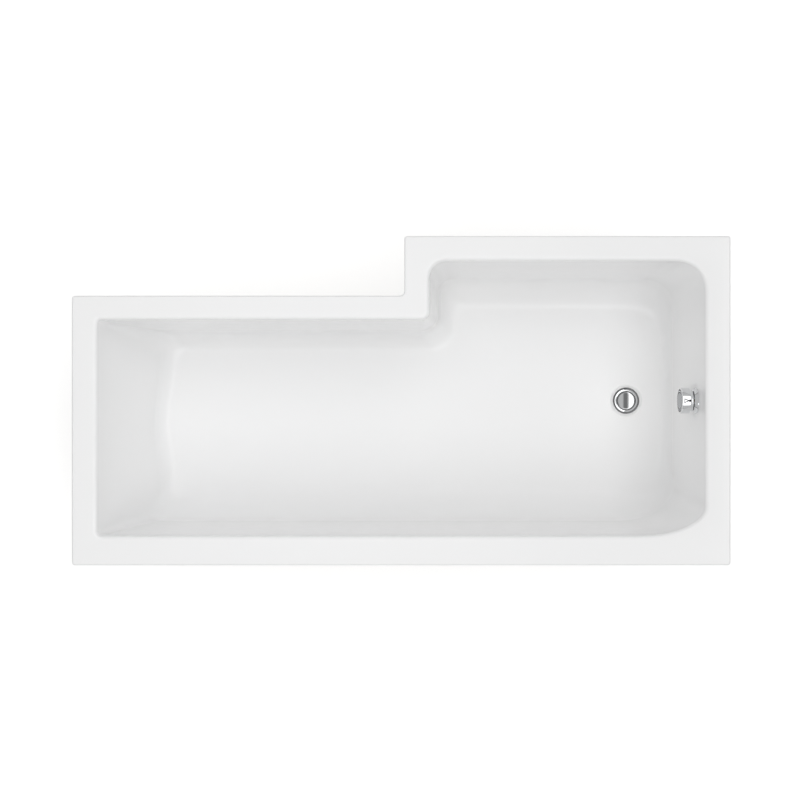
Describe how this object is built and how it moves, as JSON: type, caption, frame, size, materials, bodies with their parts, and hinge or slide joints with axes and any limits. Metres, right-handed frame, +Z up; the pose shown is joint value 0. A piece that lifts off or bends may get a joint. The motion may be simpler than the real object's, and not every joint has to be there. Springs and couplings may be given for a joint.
{
  "type": "shower bath",
  "caption": "White L-shaped shower bath with a sloping back rest, a wide showering end, a pop-up plug and a turning overflow knob, on steel bars with screw feet.",
  "frame": {"origin": "on the floor, below the centre of the bath's 1.7 m by 0.85 m outline", "axes": "+X to the waste end, +Y to the side that the showering end stands out on, +Z up"},
  "size_m": [1.7, 0.85, 0.545],
  "materials": {
    "acrylic": "polished white acrylic sheet with a rough glass-fibre backing",
    "particle_board": "raw particle board under resin",
    "pine": "sawn softwood under resin",
    "zinc_steel": "zinc-plated steel",
    "chrome": "bright chrome plating",
    "brass": "turned brass",
    "black_plastic": "moulded black plastic",
    "white_plastic": "moulded white plastic",
    "rubber": "black rubber"
  },
  "bodies": {
    "bath": {"bath_shell": "acrylic", "base_board": "particle_board", "batten_front": "pine", "batten_waste_end": "pine", "batten_wide_side": "pine", "batten_step": "pine", "batten_narrow_side": "pine", "batten_head_end": "pine", "bar_head": "zinc_steel", "bar_middle": "zinc_steel", "bar_waste": "zinc_steel", "bar_end_plugs": "black_plastic", "board_screws": "zinc_steel", "weld_nuts": "zinc_steel", "lock_nuts": "zinc_steel", "waste_flange": "chrome", "waste_top_seal": "rubber", "waste_low_seal": "rubber", "waste_body": "white_plastic", "cable_sheath": "black_plastic", "cable_glands": "black_plastic", "overflow_face": "chrome", "face_screws": "zinc_steel", "overflow_gasket": "rubber", "overflow_housing": "white_plastic", "overflow_hose": "white_plastic", "hose_nut_low": "white_plastic", "hose_nut_top": "white_plastic"},
    "knob": {"overflow_knob": "chrome", "knob_grub_screw": "zinc_steel", "knob_shaft": "brass", "cable_cam": "white_plastic"},
    "lever": {"lift_rocker": "brass", "rocker_spindle": "brass", "lift_crank": "zinc_steel"},
    "wire": {"pull_wire": "zinc_steel"},
    "plug": {"plug_cap": "chrome", "plug_seal": "rubber", "plug_stem": "brass", "plug_adjuster": "brass"},
    "foot_1": {"foot_stud_1": "zinc_steel", "foot_pad_1": "black_plastic"},
    "foot_2": {"foot_stud_2": "zinc_steel", "foot_pad_2": "black_plastic"},
    "foot_3": {"foot_stud_3": "zinc_steel", "foot_pad_3": "black_plastic"},
    "foot_4": {"foot_stud_4": "zinc_steel", "foot_pad_4": "black_plastic"},
    "foot_5": {"foot_stud_5": "zinc_steel", "foot_pad_5": "black_plastic"},
    "foot_6": {"foot_stud_6": "zinc_steel", "foot_pad_6": "black_plastic"}
  },
  "joints": [
    {"name": "knob_turn", "type": "hinge", "parent": "bath", "child": "knob", "pos_m": [0.77215, 0, 0.46], "axis": [-0.9945, 0, 0.1045], "range_deg": [0, 90]},
    {"name": "lever_turn", "type": "hinge", "parent": "bath", "child": "lever", "pos_m": [0.59964, 0, 0.09947], "axis": [0, -1, 0], "range_deg": [0, 28.95]},
    {"name": "wire_pull", "type": "slide", "parent": "bath", "child": "wire", "axis": [1, 0, 0], "range_m": [0, 0.008]},
    {"name": "plug_lift", "type": "slide", "parent": "bath", "child": "plug", "axis": [0, 0, 1], "range_m": [0, 0.01]},
    {"name": "foot_1_height", "type": "slide", "parent": "bath", "child": "foot_1", "axis": [0, 0, -1], "range_m": [-0.025, 0.025]},
    {"name": "foot_2_height", "type": "slide", "parent": "bath", "child": "foot_2", "axis": [0, 0, -1], "range_m": [-0.025, 0.025]},
    {"name": "foot_3_height", "type": "slide", "parent": "bath", "child": "foot_3", "axis": [0, 0, -1], "range_m": [-0.025, 0.025]},
    {"name": "foot_4_height", "type": "slide", "parent": "bath", "child": "foot_4", "axis": [0, 0, -1], "range_m": [-0.025, 0.025]},
    {"name": "foot_5_height", "type": "slide", "parent": "bath", "child": "foot_5", "axis": [0, 0, -1], "range_m": [-0.025, 0.025]},
    {"name": "foot_6_height", "type": "slide", "parent": "bath", "child": "foot_6", "axis": [0, 0, -1], "range_m": [-0.025, 0.025]}
  ],
  "couplings": [
    {"joint": "lever_turn", "follows": "knob_turn", "ratio": 0.32172},
    {"joint": "wire_pull", "follows": "knob_turn", "m_per_rad": 0.0050929},
    {"joint": "plug_lift", "follows": "knob_turn", "m_per_rad": 0.0063661}
  ]
}
